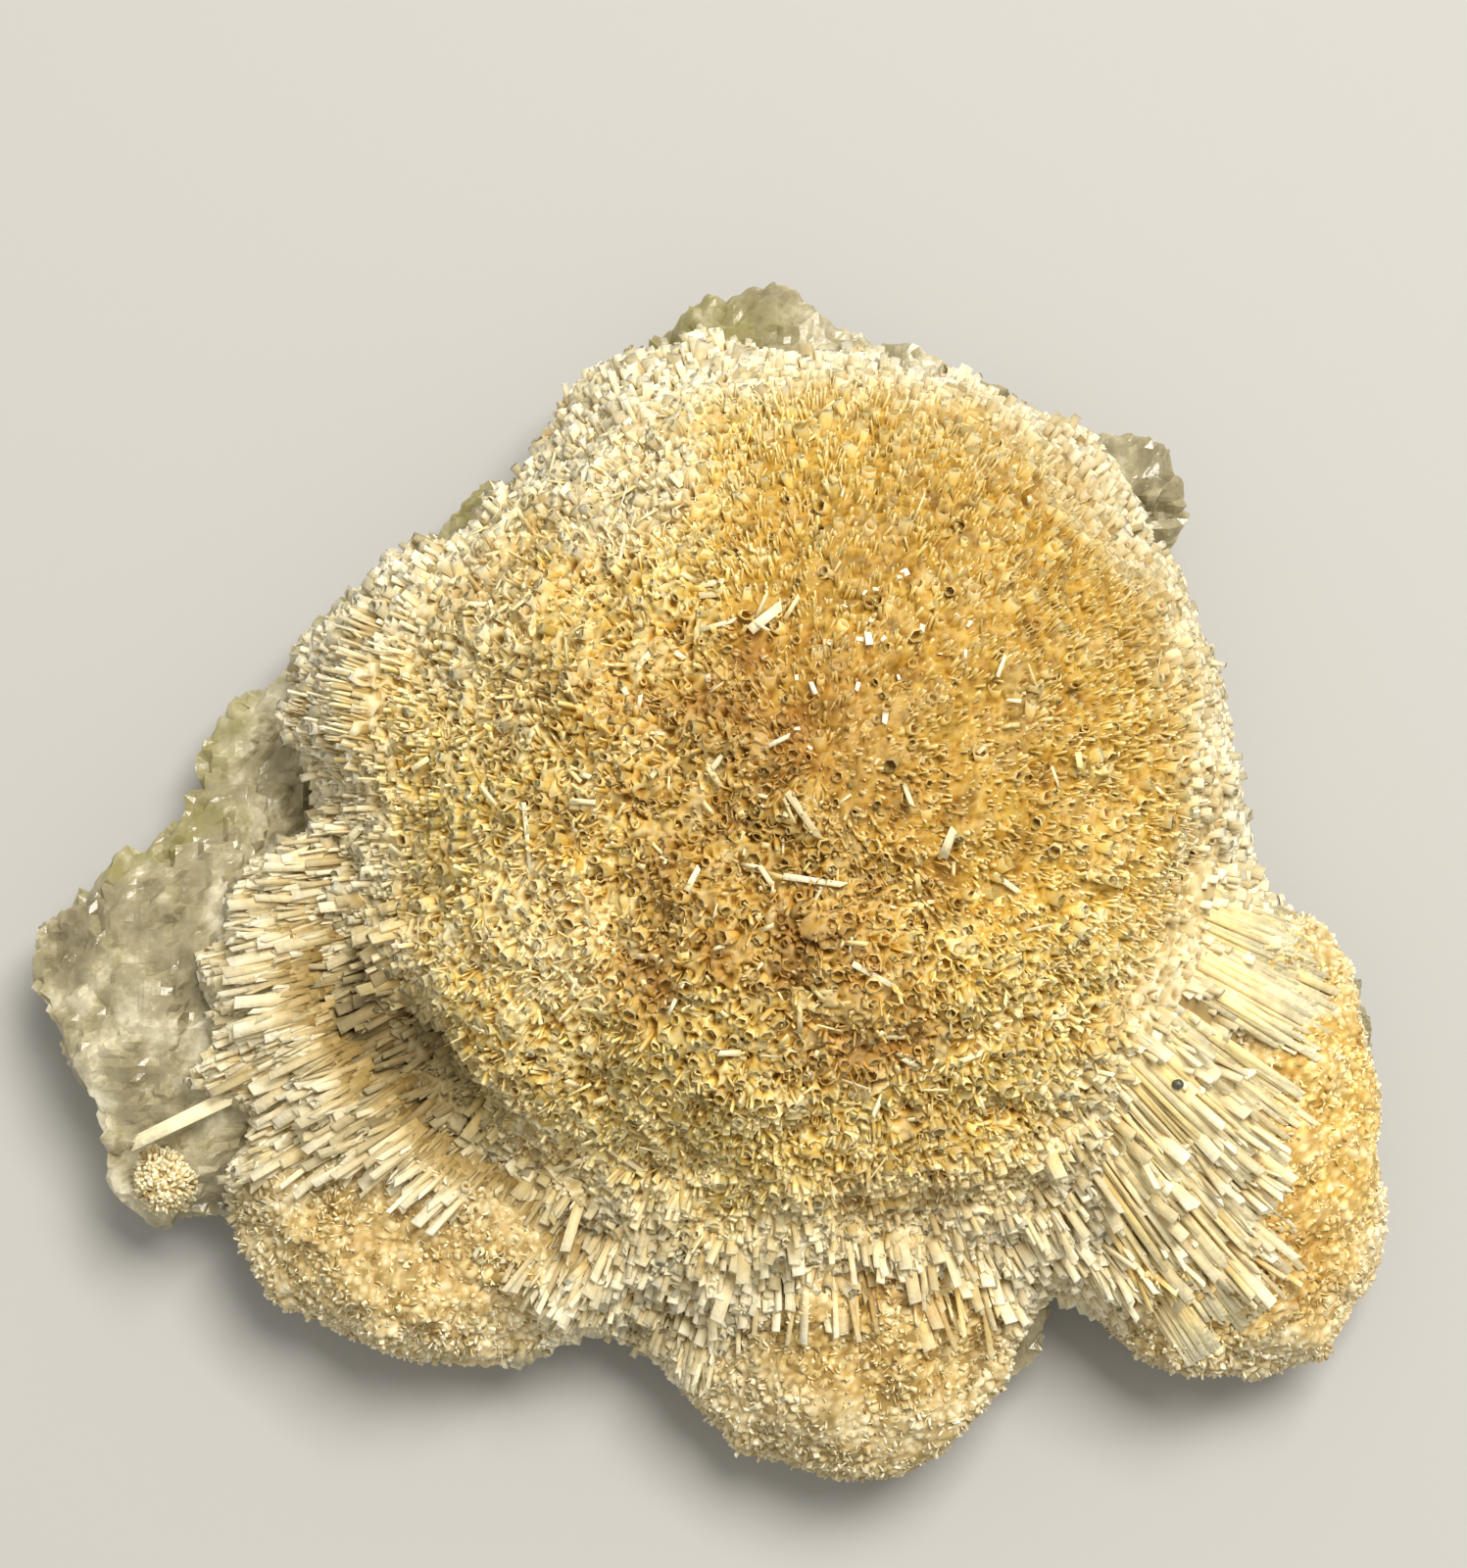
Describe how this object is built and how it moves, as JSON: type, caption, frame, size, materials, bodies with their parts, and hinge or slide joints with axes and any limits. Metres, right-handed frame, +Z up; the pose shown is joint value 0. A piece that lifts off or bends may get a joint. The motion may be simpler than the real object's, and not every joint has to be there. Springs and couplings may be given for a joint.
{
  "type": "thomsonite sphere specimen",
  "caption": "Natural thomsonite: a golden dome of radiating needles and blades with side lobes, grown on a loose piece of quartz with a flat underside.",
  "frame": {"origin": "on the quartz's flat underside, under the middle of the specimen", "axes": "+Z up, out of the flat underside; +X towards the right lobe, along the longest side; -Y towards the front lobe"},
  "size_m": [0.1081, 0.0964, 0.0381],
  "materials": {
    "thomsonite": "rough, with glassy crystal faces",
    "quartz": "broken, cloudy and slightly see-through"
  },
  "bodies": {
    "root": {"quartz_matrix": "quartz", "thomsonite_sphere": "thomsonite", "corner_cluster": "thomsonite"}
  },
  "joints": []
}
